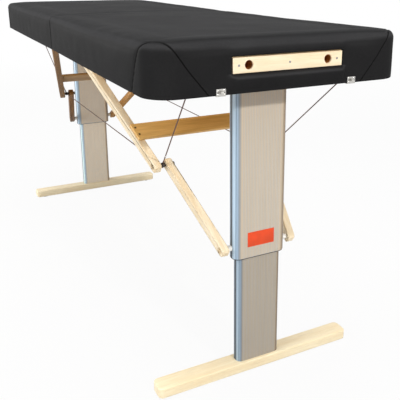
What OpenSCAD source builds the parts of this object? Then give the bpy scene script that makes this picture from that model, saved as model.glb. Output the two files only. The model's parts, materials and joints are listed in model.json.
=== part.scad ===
// Electric massage table that folds like a suitcase.
// +X is the end with the headrest holes, +Z is up, the origin is on the floor at the middle.
// Every near piece is drawn on the +X side, and the far pieces are its mirror image.

/* [Tabletop] */
// Overall length of the tabletop
table_l = 2000; // [1800:10:2200]
// Overall width of the tabletop
table_w = 700; // [640:10:800]
// Plan radius of the outer corners of the cover
corner_r = 68; // [40:1:90]
// Height of the underside of the tabletop above the floor
underside_h = 843; // [780:1:900]
// Depth of the wooden frame below the panel
rail_h = 88; // [84:1:100]
// Thickness of the frame rails
rail_t = 14; // [10:1:18]
// Thickness of the plywood panels
panel_t = 4; // [3:1:8]
// Foam thickness at the rim of the cushion
pad_t = 23; // [15:1:60]
// Rise of the cushion's crown above its rim
crown_h = 6; // [0:1:12]
// Padded skin outside the frame rails
side_pad_t = 6; // [4:1:12]
// Rounding of the cushion's upper edge
rim_r = 20; // [8:1:24]
// How far each long side bows in at the fold
waist = 4; // [0:1:6]
// Gap between the two halves at the fold
fold_gap = 0.8; // [0.6:0.1:2]

/* [Headrest outlet] */
// Width of the wooden headrest plate
plate_w = 302; // [260:1:320]
// Height of the headrest plate
plate_h = 36; // [30:1:40]
// Thickness of the headrest plate
plate_t = 5; // [3:0.5:6]
// Height of the headrest holes above the underside
outlet_h = 65; // [60:1:68]
// Distance between the headrest holes
outlet_pitch = 219; // [200:1:230]
// Radius of the headrest holes
outlet_r = 11; // [8:0.5:12]
// Length of the wooden block behind the end rail
outlet_block_l = 50; // [30:1:60]

/* [Columns] */
// Distance of a column's centre from the end of the table
column_inset = 147; // [130:1:160]
// Width of the outer tube
outer_w = 160; // [140:1:170]
// Depth of the outer tube
outer_d = 45; // [42:0.5:46]
// Width of the inner tube
inner_w = 135.4; // [118:0.2:142]
// Depth of the inner tube
inner_d = 38; // [36:0.5:38.5]
// Wall of both tubes
tube_wall = 2.5; // [2:0.1:3]
// Plan radius of the outer tube's corners
tube_r = 20; // [12:1:21]
// Height of the outer tube's lower end above the floor
outer_bottom_h = 357; // [340:1:370]
// Length of inner tube that stays inside the outer tube when raised
tube_overlap = 150; // [120:1:170]
// Distance of the column's pivot outboard of the column's centre
pivot_setback = 18.9; // [17:0.1:20]
// Radius of the pivot trunnions
trunnion_r = 4; // [3:0.5:5]

/* [Feet] */
// Length of a foot across the table
foot_l = 618; // [560:1:640]
// Width of a foot
foot_w = 55; // [48:1:55]
// Thickness of a foot
foot_t = 30; // [26:1:36]
// How far the rubber pads stand out below a foot
pad_stand = 3; // [2:0.5:5]
// Radius of the rubber pads
pad_r = 20; // [12:1:22]

/* [Braces] */
// Distance of the brace knee from the column's centre, along the table
knee_reach = 250; // [243:1:258]
// Height of the brace knee above the floor
knee_h = 565; // [555:1:575]
// Height of the brace anchor above the outer tube's lower end
anchor_up = 29; // [21:1:43]
// Distance of the upper brace's pivot from the middle of the table
brace_pivot_x = 120; // [112:1:130]
// Depth of the upper braces in the plane that they swing in
upper_d = 30; // [24:1:30]
// Depth of the lower braces
lower_d = 28; // [24:1:32]
// Thickness of all braces
brace_t = 20; // [16:1:20]
// Distance of an upper brace from the centre plane at the knee
upper_knee_y = 195; // [190:1:205]
// Distance of a lower brace from the centre plane at the knee
lower_knee_y = 158.6; // [150:0.1:162]
// Distance of a lower brace from the centre plane at the column
lower_anchor_y = 103.5; // [100:0.1:110]
// Width of the plywood crossboard
board_w = 58; // [40:1:64]
// Thickness of the plywood crossboard
board_t = 10; // [6:1:11]
// Length along the upper brace from the knee to the crossboard's centre line
knee_to_board_l = 119; // [110:1:160]
// Diameter of the bracing cables
cable_d = 2.4; // [1.5:0.1:4]

/* [Hidden] */

// Overrun of every cut past the faces that it opens
over = 1;
// Gap that keeps moving pieces apart
clear = 0.3;
// Radial clearance of a running fit
fit = 0.05;
$fn = 48;

half_l = table_l / 2;
half_w = table_w / 2;
half_gap = fold_gap / 2;
column_x = half_l - column_inset;
knee_x = column_x - knee_reach;
anchor_h = outer_bottom_h + anchor_up;

// Cover
hem_w = 18;
hem_t = 2;
fold_skin_t = 2;
hem_r = 2.5;
fold_corner_r = 5;
least_corner_r = 1;
least_fold_r = 0.5;

// Frame heights
rail_bottom = underside_h + hem_t;
panel_bottom = underside_h + rail_h;
panel_top = panel_bottom + panel_t;
rim_h = panel_top + pad_t;
frame_x0 = half_gap + fold_skin_t;
frame_x1 = half_l - side_pad_t;
rail_out_y = half_w - side_pad_t;
rail_in_y = rail_out_y - rail_t;
centre_rail_t = 18;
rail_split_x = half_l - corner_r;
frame_corner_r = corner_r - side_pad_t;

// Centre hinges: their pin lies below the frame, so that the closed halves stay apart
hinge_drop = 5;
hinge_z = underside_h - hinge_drop;
hinge_pin_r = 2;
hinge_barrel_r = 4.6;
hinge_leaf_t = 2;
hinge_leaf_x = 22;
hinge_w = 60;
hinge_y = 230;
knuckle_w = hinge_w / 3;

// Folded level of the column's centre line, just above the closing plane
fold_clear = 0.5;
fold_z = hinge_z + fold_clear + foot_w / 2;
pivot_x = column_x + pivot_setback;
pivot_z = fold_z - pivot_setback;

// Column head
head_up = 3;
head_base = underside_h + head_up;
head_t = 12;
head_top = head_base + head_t;
lug_t = 5;
lug_r = 8;
lug_gap = 0.5;
lug_root = 4;
lug_in_y = outer_w / 2 + lug_gap;
lug_out_y = lug_in_y + lug_t;
ear_gap = 1;
ear_in_y = lug_out_y + ear_gap;
ear_t = 5;
ear_out_y = ear_in_y + ear_t;
trunnion_past = 2;
trunnion_out_y = ear_out_y + trunnion_past;

// Cross bearer over the column, clear of the head as it swings
bearer_h = 40;
bearer_bottom = panel_bottom - bearer_h;
bearer_back = 41;
bearer_front = 59;
bearer_x0 = column_x - bearer_back;
bearer_x1 = column_x + bearer_front;
flange_t = 4;
flange_w = 42;
ear_half_x = 17;

// Tube insides
cavity_w = outer_w - 2 * tube_wall;
cavity_d = outer_d - 2 * tube_wall;
cavity_r = tube_r - tube_wall;
inner_r = 16;
inner_cavity_r = inner_r - tube_wall;
groove_w = 2.6;
groove_t = 1.1;
foot_top = pad_stand + foot_t;
inner_top = outer_bottom_h + tube_overlap;
collar_t = 20;
collar_lip = 2;
collar_gap = 0.3;
block_t = 22;
block_flange_t = 8;
block_gap = 0.3;

// Drive
gearbox_w = 60;
gearbox_d = 36;
gearbox_h = 50;
motor_r = 17;
motor_l = 30;
spindle_r = 6;
spindle_up = 70;
spindle_bottom = outer_bottom_h + spindle_up;

// Feet
foot_end_r = 14;
pad_inset = 40;
pad_sunk = 2;

// Braces
swing_gap = 1;
brace_pivot_z = panel_bottom - swing_gap - upper_d / 2;
washer_t = 0.9;
washer_gap = 0.1;
washer_past = 1;
spacer_past = 2;
upper_pivot_y = rail_in_y - washer_t - brace_t / 2 - washer_gap;
brace_end_r = 8;
brace_end_past = 16;
bolt_r = 4;
bolt_head_r = 7;
bolt_head_t = 4;
bore_sunk = 6;
bore_sunk_r = 8;
upper_run = [knee_x - brace_pivot_x, knee_h - brace_pivot_z];
upper_len = norm(upper_run);
upper_dir = upper_run / upper_len;
lower_run = [column_x - knee_x, anchor_h - knee_h];
lower_len = norm(lower_run);
upper_in = upper_pivot_y - upper_knee_y;
lower_in = lower_knee_y - lower_anchor_y;
upper_pivot_face_y = upper_pivot_y - brace_t / 2
  - upper_in * (upper_d / 2 + bolt_head_r) / (upper_len + upper_d / 2);
upper_knee_face_y = upper_knee_y + brace_t / 2
  + upper_in * (brace_end_past + bore_sunk_r) / (upper_len + brace_end_past - upper_d / 2);
lower_knee_face_y = lower_knee_y - brace_t / 2
  - lower_in * (brace_end_past + bolt_head_r) / (lower_len + brace_end_past);
lower_anchor_face_y = lower_anchor_y + brace_t / 2
  + lower_in * (brace_end_past + bore_sunk_r) / (lower_len + brace_end_past);
eye_r = 8;
eye_t = 2;
anchor_r = 8;
board_x = knee_x - upper_dir[0] * knee_to_board_l;
board_z = knee_h - upper_dir[1] * knee_to_board_l;
board_pitch = atan2(upper_dir[1], upper_dir[0]);
board_share = knee_to_board_l / upper_len;
board_y = upper_knee_y + (upper_pivot_y - upper_knee_y) * board_share;
board_inset = 1;
board_half_l = board_y + brace_t / 2 - board_inset;
board_splay_share = upper_in / upper_len;
board_taper = board_splay_share * board_w / 2;
screw_head_r = 3;
screw_head_t = 0.8;
screw_inset = 8;
plate_screw_inset = 15;
screw_spread = 13;

// Cables
eye_y = (upper_knee_y + lower_knee_y) / 2;
cable_start = eye_r + clear;
cable_eye_l = 9;
cable_inset = 116;
cable_up = 47;
cable_anchor = [frame_x1 - rail_t - cable_eye_l, half_w - cable_inset, underside_h + cable_up];
cable_eye_r = 2.5;
cable_stop = clear + cable_d / 3;

// Latches
latch_y = 182;
latch_w = 24;
latch_h = 16;
latch_t = 1.5;
latch_wrap = 14;
lever_pin_r = 1.5;
lever_r = 3;
lever_w = 14;
lever_t = 2;
lever_l = 18;
lever_gap = 1;
lever_up = 6;
hook_root = 0.5;
lever_x = half_l + latch_t + lever_r + lever_gap;
lever_z = underside_h + latch_h + lever_up;
keeper_w = 8;
keeper_z = underside_h + latch_h / 2;

// Label plate
label_w = 82;
label_h = 42;
label_t = 0.8;
label_up = 53;
label_z = outer_bottom_h + label_up;

// Control box
box_l = 140;
box_w = 105;
box_h = 33;
box_x = 400;
box_y = 165;
inlet_w = 28;
inlet_h = 20;
inlet_sunk = 12;

// Outline of the cushion in plan, drawn in by d on every side, as a list of points
corner_steps = 7;
side_steps = 6;
function bow(x) = waist * pow(1 - x / half_l, 2);
function out_y(x, d) = half_w - d - bow(x);
function arc(cx, cy, r, a0, a1, n) =
  [for (i = [0:n]) let (a = a0 + (a1 - a0) * i / n) [cx + r * cos(a), cy + r * sin(a)]];
function outline(d) =
  let (
    ro = max(corner_r - d, least_corner_r),
    ri = max(fold_corner_r - d, least_fold_r),
    x0 = half_gap + d,
    x1 = half_l - d,
    far_y = half_w - d
  )
  concat(
    arc(x1 - ro, -(far_y - ro), ro, -90, 0, corner_steps),
    arc(x1 - ro, far_y - ro, ro, 0, 90, corner_steps),
    [for (i = [1:side_steps - 1])
      let (x = x1 - ro + (x0 + ri - x1 + ro) * i / side_steps) [x, out_y(x, d)]],
    arc(x0 + ri, out_y(x0 + ri, d) - ri, ri, 90, 180, 2),
    arc(x0 + ri, -(out_y(x0 + ri, d) - ri), ri, 180, 270, 2),
    [for (i = [side_steps - 1:-1:1])
      let (x = x1 - ro + (x0 + ri - x1 + ro) * i / side_steps) [x, -out_y(x, d)]]
  );

// Rings of the cushion: how far each is drawn in, and its height
edge_steps = 4;
crown_margin = 20;
hem_chamfer_share = 0.3;
crown_reach = half_w - crown_margin;
crown_shares = [0.12, 0.28, 0.5, 0.75, 1];
function crown_z(d) =
  rim_h + crown_h * (1 - pow(1 - (d - rim_r) / (crown_reach - rim_r), 2));
rings = concat(
  [[hem_r, underside_h],
   [hem_r * hem_chamfer_share, underside_h + hem_r * hem_chamfer_share],
   [0, underside_h + hem_r]],
  [for (i = [0:edge_steps]) let (a = 90 * i / edge_steps)
    [rim_r * (1 - cos(a)), rim_h - rim_r * (1 - sin(a))]],
  [for (s = crown_shares) let (d = rim_r + (crown_reach - rim_r) * s) [d, crown_z(d)]]
);

// Solid through a list of rings of equal point counts, closed by fans at both ends
module skin(levels) {
  pts = [for (l = levels) [for (p = outline(l[0])) [p[0], p[1], l[1]]]];
  n = len(pts[0]);
  m = len(levels);
  mid = [half_l / 2, 0];
  all_pts = concat(
    [for (r = pts) each r],
    [[mid[0], mid[1], levels[0][1]], [mid[0], mid[1], levels[m - 1][1]]]
  );
  side_faces = [for (j = [0:m - 2]) for (i = [0:n - 1])
    let (a = j * n + i, b = j * n + (i + 1) % n, c = a + n, d = b + n)
    each [[a, c, b], [b, c, d]]];
  bottom_fan = [for (i = [0:n - 1]) [m * n, i, (i + 1) % n]];
  top_fan = [for (i = [0:n - 1]) [m * n + 1, (m - 1) * n + (i + 1) % n, (m - 1) * n + i]];
  polyhedron(all_pts, concat(side_faces, bottom_fan, top_fan));
}

// Plan of the frame: a square fold side and two round outer corners
module frame_plan(d) {
  r = frame_corner_r - d;
  x1 = frame_x1 - d;
  y1 = rail_out_y - d;
  x0 = frame_x0;
  translate([x0, -y1]) square([x1 - r - x0, 2 * y1]);
  translate([x0, -(y1 - r)]) square([x1 - x0, 2 * (y1 - r)]);
  for (s = [-1, 1]) translate([x1 - r, s * (y1 - r)]) circle(r);
}

// Upright prism with the section of a column tube, centred on the column
module tube_bar(w, d, r, z0, z1) {
  translate([column_x, 0, z0]) linear_extrude(z1 - z0) {
    square([d, w - 2 * r], center = true);
    square([d - 2 * r, w], center = true);
    for (sx = [-1, 1]) for (sy = [-1, 1])
      translate([sx * (d / 2 - r), sy * (w / 2 - r)]) circle(r);
  }
}

// Round bar along Y from y0 to y1, through the point x, z
module y_bar(x, z, r, y0, y1) {
  translate([x, min(y0, y1), z]) rotate([-90, 0, 0]) cylinder(r = r, h = abs(y1 - y0));
}

// Round bar between two points
module rod(p, q, r) {
  v = q - p;
  translate(p) rotate([0, acos(v[2] / norm(v)), atan2(v[1], v[0])]) cylinder(r = r, h = norm(v));
}

// Flat wooden bar with rounded ends between two pivots, each given as x, y, z.
// Its first end is a half circle about the pivot where full_round is true.
module brace(p, q, depth, full_round) {
  v = [q[0] - p[0], q[2] - p[2]] / norm([q[0] - p[0], q[2] - p[2]]);
  n = [-v[1], v[0]];
  past = brace_end_past - brace_end_r;
  side = depth / 2 - brace_end_r;
  square_end = [brace_end_r, past, side];
  round_end = [depth / 2, 0, 0];
  hull() {
    for (e = [[p, -1, full_round ? round_end : square_end], [q, 1, square_end]]) for (s = [-1, 1])
      translate([
        e[0][0] + v[0] * e[2][1] * e[1] + n[0] * e[2][2] * s,
        e[0][1] + brace_t / 2,
        e[0][2] + v[1] * e[2][1] * e[1] + n[1] * e[2][2] * s
      ]) rotate([90, 0, 0]) cylinder(r = e[2][0], h = brace_t, $fn = 28);
  }
}

module cushion() {
  color([0.16, 0.16, 0.17]) difference() {
    skin(rings);
    translate([0, 0, rail_bottom]) linear_extrude(panel_top - rail_bottom) frame_plan(0);
    translate([frame_x0, -(rail_out_y - hem_w), underside_h - over])
      cube([rail_split_x - frame_x0, 2 * (rail_out_y - hem_w), hem_t + 2 * over]);
    translate([frame_x0, -(rail_out_y - frame_corner_r), underside_h - over])
      cube([frame_x1 - hem_w - frame_x0, 2 * (rail_out_y - frame_corner_r), hem_t + 2 * over]);
    translate([frame_x0, -rail_out_y, underside_h - over])
      cube([centre_rail_t, 2 * rail_out_y, hem_t + 2 * over]);
  }
}

module cushion_near() {
  difference() {
    cushion();
    translate([frame_x1 - over, -plate_w / 2 - clear, underside_h + outlet_h - plate_h / 2 - clear])
      cube([side_pad_t + 2 * over, plate_w + 2 * clear, plate_h + 2 * clear]);
  }
}

module panel() {
  color("burlywood") translate([0, 0, panel_bottom]) linear_extrude(panel_t) frame_plan(0);
}

module side_rails() {
  color("wheat") for (s = [0, 1]) mirror([0, s, 0])
    translate([frame_x0 + centre_rail_t, rail_in_y, rail_bottom])
      cube([rail_split_x - frame_x0 - centre_rail_t, rail_t, panel_bottom - rail_bottom]);
}

module end_rail_blank() {
  translate([0, 0, rail_bottom]) linear_extrude(panel_bottom - rail_bottom) intersection() {
    difference() {
      frame_plan(0);
      frame_plan(rail_t);
    }
    translate([rail_split_x, -half_w]) square([corner_r, table_w]);
  }
}

module outlet_bores(x0, x1) {
  for (s = [-1, 1]) translate([x0, s * outlet_pitch / 2, underside_h + outlet_h])
    rotate([0, 90, 0]) cylinder(r = outlet_r, h = x1 - x0);
}

module near_end_rail() {
  color("wheat") difference() {
    end_rail_blank();
    outlet_bores(frame_x1 - rail_t - over, frame_x1 + over);
  }
}

module far_end_rail() {
  color("wheat") end_rail_blank();
}

module centre_rail() {
  color("wheat") translate([frame_x0, -rail_out_y, underside_h])
    cube([centre_rail_t, 2 * rail_out_y, rail_h]);
}

module cross_bearer() {
  color("wheat") translate([bearer_x0, -rail_in_y, bearer_bottom])
    cube([bearer_x1 - bearer_x0, 2 * rail_in_y, bearer_h]);
}

module pivot_brackets() {
  color("dimgray") for (s = [0, 1]) mirror([0, s, 0]) difference() {
    union() {
      y_bar(pivot_x, pivot_z, lug_r, ear_in_y, ear_out_y);
      translate([pivot_x - lug_r, ear_in_y, pivot_z])
        cube([2 * lug_r, ear_t, bearer_bottom - pivot_z]);
      translate([pivot_x - ear_half_x, ear_in_y, bearer_bottom - flange_t])
        cube([2 * ear_half_x, flange_w, flange_t]);
    }
    y_bar(pivot_x, pivot_z, trunnion_r + fit, ear_in_y - over, ear_out_y + over);
  }
}

module brace_pivot_bolts() {
  color("dimgray") for (s = [0, 1]) mirror([0, s, 0]) {
    head_y = upper_pivot_face_y - clear;
    y_bar(brace_pivot_x, brace_pivot_z, bolt_r, head_y - bolt_head_t, rail_in_y);
    y_bar(brace_pivot_x, brace_pivot_z, bolt_head_r, head_y - bolt_head_t, head_y);
    y_bar(brace_pivot_x, brace_pivot_z, bolt_head_r + washer_past, rail_in_y - washer_t + clear, rail_in_y);
  }
}

module cable_eyes() {
  color("silver") for (s = [-1, 1])
    translate([cable_anchor[0], s * cable_anchor[1], cable_anchor[2]]) rotate([0, 90, 0])
      cylinder(r = cable_eye_r, h = frame_x1 - rail_t - cable_anchor[0]);
}

module outer_tube() {
  color([0.8, 0.77, 0.72]) difference() {
    tube_bar(outer_w, outer_d, tube_r, outer_bottom_h, head_base);
    tube_bar(cavity_w, cavity_d, cavity_r, outer_bottom_h - over, head_base + over);
    for (s = [-1, 1])
      translate([column_x - groove_w / 2, s * outer_w / 2 - groove_t, outer_bottom_h - over])
        cube([groove_w, 2 * groove_t, head_base - outer_bottom_h + 2 * over]);
  }
}

module column_head() {
  color("gray") {
    tube_bar(outer_w, outer_d, tube_r, head_base, head_top);
    for (s = [0, 1]) mirror([0, s, 0]) {
      translate([column_x, lug_in_y - lug_root, head_base])
        cube([pivot_x + lug_r - column_x, lug_t + lug_root, head_t]);
      y_bar(pivot_x, pivot_z, lug_r, lug_in_y, lug_out_y);
      y_bar(pivot_x, pivot_z, trunnion_r, lug_in_y, trunnion_out_y);
    }
  }
}

module gearmotor() {
  color("dimgray") {
    translate([column_x - gearbox_d / 2, -gearbox_w / 2, head_base - gearbox_h])
      cube([gearbox_d, gearbox_w, gearbox_h]);
    y_bar(column_x, head_base - gearbox_h / 2, motor_r, gearbox_w / 2, gearbox_w / 2 + motor_l);
  }
}

module spindle() {
  color("silver") translate([column_x, 0, spindle_bottom])
    cylinder(r = spindle_r, h = head_base - gearbox_h - spindle_bottom);
}

module guide_collar() {
  color([0.25, 0.25, 0.26]) difference() {
    union() {
      tube_bar(cavity_w, cavity_d, cavity_r, outer_bottom_h, outer_bottom_h + collar_t);
      tube_bar(outer_w - groove_w, outer_d - groove_w, tube_r - groove_w / 2,
        outer_bottom_h - collar_lip, outer_bottom_h);
    }
    tube_bar(inner_w + 2 * collar_gap, inner_d + 2 * collar_gap, inner_r + collar_gap,
      outer_bottom_h - collar_lip - over, outer_bottom_h + collar_t + over);
  }
}

module brace_anchors() {
  color("gainsboro") for (s = [0, 1]) mirror([0, s, 0])
    y_bar(column_x, anchor_h, anchor_r, outer_w / 2, lower_anchor_y - brace_t / 2 - clear);
}

module inner_tube() {
  color([0.76, 0.74, 0.69]) difference() {
    tube_bar(inner_w, inner_d, inner_r, foot_top, inner_top);
    tube_bar(inner_w - 2 * tube_wall, inner_d - 2 * tube_wall, inner_cavity_r,
      foot_top + tube_wall, inner_top + over);
    for (s = [-1, 1])
      translate([column_x - groove_w / 2, s * inner_w / 2 - groove_t, foot_top - over])
        cube([groove_w, 2 * groove_t, inner_top - foot_top + 2 * over]);
  }
}

module slide_block() {
  color("white") difference() {
    union() {
      tube_bar(cavity_w - 2 * block_gap, cavity_d - 2 * block_gap, cavity_r - block_gap,
        inner_top, inner_top + block_flange_t);
      tube_bar(inner_w - 2 * tube_wall, inner_d - 2 * tube_wall, inner_cavity_r,
        inner_top - block_t, inner_top);
    }
    translate([column_x, 0, inner_top - block_t - over])
      cylinder(r = spindle_r + fit, h = block_t + block_flange_t + 2 * over);
  }
}

module foot() {
  color("wheat") difference() {
    translate([column_x, 0, pad_stand]) linear_extrude(foot_t) {
      square([foot_w, foot_l - 2 * foot_end_r], center = true);
      square([foot_w - 2 * foot_end_r, foot_l], center = true);
      for (sx = [-1, 1]) for (sy = [-1, 1])
        translate([sx * (foot_w / 2 - foot_end_r), sy * (foot_l / 2 - foot_end_r)])
          circle(foot_end_r);
    }
    for (s = [-1, 1]) translate([column_x, s * (foot_l / 2 - pad_inset), pad_stand - over])
      cylinder(r = pad_r, h = pad_sunk + over);
  }
}

module foot_pads() {
  color("black") for (s = [-1, 1]) translate([column_x, s * (foot_l / 2 - pad_inset), 0])
    cylinder(r = pad_r, h = pad_stand + pad_sunk);
}

module upper_braces() {
  color("wheat") for (s = [0, 1]) mirror([0, s, 0]) difference() {
    brace([brace_pivot_x, upper_pivot_y, brace_pivot_z], [knee_x, upper_knee_y, knee_h],
      upper_d, true);
    y_bar(brace_pivot_x, brace_pivot_z, bolt_r + fit,
      upper_pivot_face_y - over, upper_pivot_y + brace_t / 2 + over);
    y_bar(knee_x, knee_h, bolt_r, upper_knee_y - brace_t / 2 - over, upper_knee_face_y + over);
    y_bar(knee_x, knee_h, bore_sunk_r,
      upper_knee_y + brace_t / 2 - bore_sunk, upper_knee_face_y + over);
  }
}

module crossboard() {
  color([0.72, 0.56, 0.3]) translate([board_x, 0, board_z]) rotate([0, -board_pitch, 0])
    translate([0, 0, upper_d / 2]) linear_extrude(board_t)
      polygon([[-board_w / 2, -board_half_l - board_taper], [board_w / 2, -board_half_l + board_taper],
        [board_w / 2, board_half_l - board_taper], [-board_w / 2, board_half_l + board_taper]]);
}

module brace_bolts() {
  out_y = upper_knee_y + brace_t / 2;
  head_y = lower_knee_face_y - clear;
  lower_out = lower_knee_y + brace_t / 2;
  color("dimgray") for (s = [0, 1]) mirror([0, s, 0]) {
    y_bar(knee_x, knee_h, bolt_r, head_y - bolt_head_t, out_y - bore_sunk);
    y_bar(knee_x, knee_h, bolt_head_r, out_y - bore_sunk, out_y - bore_sunk + bolt_head_t);
    y_bar(knee_x, knee_h, bolt_head_r, head_y - bolt_head_t, head_y);
    y_bar(knee_x, knee_h, bolt_r + spacer_past, lower_out + clear, upper_knee_y - brace_t / 2);
    y_bar(knee_x, knee_h, eye_r, eye_y - eye_t / 2, eye_y + eye_t / 2);
  }
  color("dimgray") translate([board_x, 0, board_z]) rotate([0, -board_pitch, 0])
    for (sx = [-1, 1]) for (sy = [-1, 1])
      translate([sx * screw_spread,
        sy * (board_half_l - screw_inset - board_splay_share * sx * screw_spread), upper_d / 2 + board_t])
        cylinder(r = screw_head_r, h = screw_head_t);
}

module lower_braces() {
  color("wheat") for (s = [0, 1]) mirror([0, s, 0]) difference() {
    brace([knee_x, lower_knee_y, knee_h], [column_x, lower_anchor_y, anchor_h], lower_d, false);
    y_bar(knee_x, knee_h, bolt_r + fit,
      lower_knee_face_y - over, lower_knee_y + brace_t / 2 + over);
    y_bar(column_x, anchor_h, bolt_r,
      lower_anchor_y - brace_t / 2 - over, lower_anchor_face_y + over);
    y_bar(column_x, anchor_h, bore_sunk_r,
      lower_anchor_y + brace_t / 2 - bore_sunk, lower_anchor_face_y + over);
  }
}

module end_cables() {
  color([0.45, 0.3, 0.25]) for (s = [-1, 1]) {
    knee = [knee_x, s * eye_y, knee_h];
    anchor = [cable_anchor[0] - cable_stop, s * cable_anchor[1], cable_anchor[2]];
    rod(knee + (anchor - knee) / norm(anchor - knee) * cable_start, anchor, cable_d / 2);
  }
}

module side_cables() {
  color([0.45, 0.3, 0.25]) for (s = [-1, 1])
    rod([-(knee_x - cable_start), s * eye_y, knee_h], [knee_x - cable_start, s * eye_y, knee_h],
      cable_d / 2);
}

module headrest_plate() {
  color("moccasin") difference() {
    translate([frame_x1, -plate_w / 2, underside_h + outlet_h - plate_h / 2])
      cube([plate_t, plate_w, plate_h]);
    outlet_bores(frame_x1 - over, frame_x1 + plate_t + over);
  }
}

module headrest_block() {
  x1 = frame_x1 - rail_t;
  color("tan") difference() {
    translate([x1 - outlet_block_l, -plate_w / 2, bearer_bottom])
      cube([outlet_block_l, plate_w, bearer_h]);
    outlet_bores(x1 - outlet_block_l - over, x1 + over);
  }
}

module plate_screws() {
  x = frame_x1 + plate_t;
  color("silver") for (y = [-plate_w / 2 + plate_screw_inset, 0, plate_w / 2 - plate_screw_inset])
    translate([x, y, underside_h + outlet_h]) rotate([0, 90, 0])
      cylinder(r = screw_head_r, h = screw_head_t);
}

module label_plate() {
  color("darkorange")
    translate([column_x + outer_d / 2, -label_w / 2, label_z - label_h / 2])
      cube([label_t, label_w, label_h]);
}

// Leaf and knuckles of one hinge, and the pin where the near leaf holds it
module hinge_leaf(slots, pinned) {
  for (s = [-1, 1]) translate([0, s * hinge_y - hinge_w / 2, 0]) {
    translate([hinge_barrel_r + clear, 0, underside_h - hinge_leaf_t])
      cube([hinge_leaf_x - hinge_barrel_r - clear, hinge_w, hinge_leaf_t]);
    for (k = slots) difference() {
      union() {
        y_bar(0, hinge_z, hinge_barrel_r, k * knuckle_w + clear, (k + 1) * knuckle_w - clear);
        translate([0, k * knuckle_w + clear, underside_h - hinge_leaf_t])
          cube([hinge_barrel_r + over, knuckle_w - 2 * clear, hinge_leaf_t]);
        translate([0, k * knuckle_w + clear, hinge_z])
          cube([hinge_barrel_r, knuckle_w - 2 * clear, hinge_drop - hinge_leaf_t]);
      }
      if (!pinned)
        y_bar(0, hinge_z, hinge_pin_r + fit, k * knuckle_w - over, (k + 1) * knuckle_w + over);
    }
    if (pinned) y_bar(0, hinge_z, hinge_pin_r, clear, hinge_w - clear);
  }
}

module near_hinge_leaves() {
  color("goldenrod") hinge_leaf([0, 2], true);
}

module far_hinge_leaves() {
  color("goldenrod") mirror([1, 0, 0]) hinge_leaf([1], false);
}

module latch_plates(h) {
  for (s = [-1, 1]) translate([0, s * latch_y - latch_w / 2, 0]) {
    translate([half_l, 0, underside_h - latch_t]) cube([latch_t, latch_w, h + latch_t]);
    translate([half_l - latch_wrap, 0, underside_h - latch_t]) cube([latch_wrap, latch_w, latch_t]);
  }
}

// Keepers, each with the hook that a lever catches
module latch_keepers() {
  color("silver") {
    latch_plates(latch_h);
    for (s = [-1, 1]) {
      y0 = s * latch_y - keeper_w / 2;
      y_bar(lever_x, keeper_z, lever_r, y0, y0 + keeper_w);
      translate([half_l + latch_t - hook_root, y0, keeper_z - lever_pin_r])
        cube([lever_x - half_l - latch_t + hook_root, keeper_w, 2 * lever_pin_r]);
    }
  }
}

module latch_bases() {
  gap = lever_w / 2 + clear;
  color("silver") {
    latch_plates(latch_h + lever_r * 4);
    for (c = [-1, 1]) {
      y_bar(lever_x, lever_z, lever_pin_r, c * latch_y - latch_w / 2, c * latch_y + latch_w / 2);
      for (s = [-1, 1]) {
        y0 = c * latch_y + s * (gap + latch_w / 2) / 2 - (latch_w / 2 - gap) / 2;
        y_bar(lever_x, lever_z, lever_r, y0, y0 + latch_w / 2 - gap);
        translate([half_l + latch_t - hook_root, y0, lever_z - lever_r])
          cube([lever_x - half_l - latch_t + hook_root, latch_w / 2 - gap, 2 * lever_r]);
      }
    }
  }
}

module latch_lever(side) {
  color("gainsboro") mirror([1, 0, 0]) difference() {
    union() {
      y_bar(lever_x, lever_z, lever_r, side * latch_y - lever_w / 2, side * latch_y + lever_w / 2);
      translate([lever_x + lever_r - lever_t, side * latch_y - lever_w / 2, lever_z - lever_l])
        cube([lever_t, lever_w, lever_l]);
    }
    y_bar(lever_x, lever_z, lever_pin_r + fit, side * latch_y - latch_w, side * latch_y + latch_w);
  }
}

module control_box() {
  color("dimgray") difference() {
    translate([box_x - box_l / 2, box_y - box_w / 2, panel_bottom - box_h])
      cube([box_l, box_w, box_h]);
    translate([box_x - box_l / 2 - over, box_y - inlet_w / 2, panel_bottom - box_h / 2 - inlet_h / 2])
      cube([inlet_sunk + over, inlet_w, inlet_h]);
  }
}

cushion_near();  // near_cushion
panel();  // near_panel
side_rails();  // near_side_rails
near_end_rail();
centre_rail();  // near_centre_rail
cross_bearer();  // near_cross_bearer
pivot_brackets();  // near_pivot_brackets
brace_pivot_bolts();  // near_brace_pivot_bolts
cable_eyes();  // near_cable_eyes
outer_tube();  // near_outer_tube
column_head();  // near_column_head
gearmotor();  // near_gearmotor
spindle();  // near_spindle
guide_collar();  // near_guide_collar
brace_anchors();  // near_brace_anchors
inner_tube();  // near_inner_tube
slide_block();  // near_slide_block
foot();  // near_foot
foot_pads();  // near_foot_pads
upper_braces();  // near_upper_braces
crossboard();  // near_crossboard
brace_bolts();  // near_brace_bolts
lower_braces();  // near_lower_braces
end_cables();  // near_end_cables
mirror([1, 0, 0]) cushion();  // far_cushion
mirror([1, 0, 0]) panel();  // far_panel
mirror([1, 0, 0]) side_rails();  // far_side_rails
mirror([1, 0, 0]) far_end_rail();
mirror([1, 0, 0]) centre_rail();  // far_centre_rail
mirror([1, 0, 0]) cross_bearer();  // far_cross_bearer
mirror([1, 0, 0]) pivot_brackets();  // far_pivot_brackets
mirror([1, 0, 0]) brace_pivot_bolts();  // far_brace_pivot_bolts
mirror([1, 0, 0]) cable_eyes();  // far_cable_eyes
mirror([1, 0, 0]) outer_tube();  // far_outer_tube
mirror([1, 0, 0]) column_head();  // far_column_head
mirror([1, 0, 0]) gearmotor();  // far_gearmotor
mirror([1, 0, 0]) spindle();  // far_spindle
mirror([1, 0, 0]) guide_collar();  // far_guide_collar
mirror([1, 0, 0]) brace_anchors();  // far_brace_anchors
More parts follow.
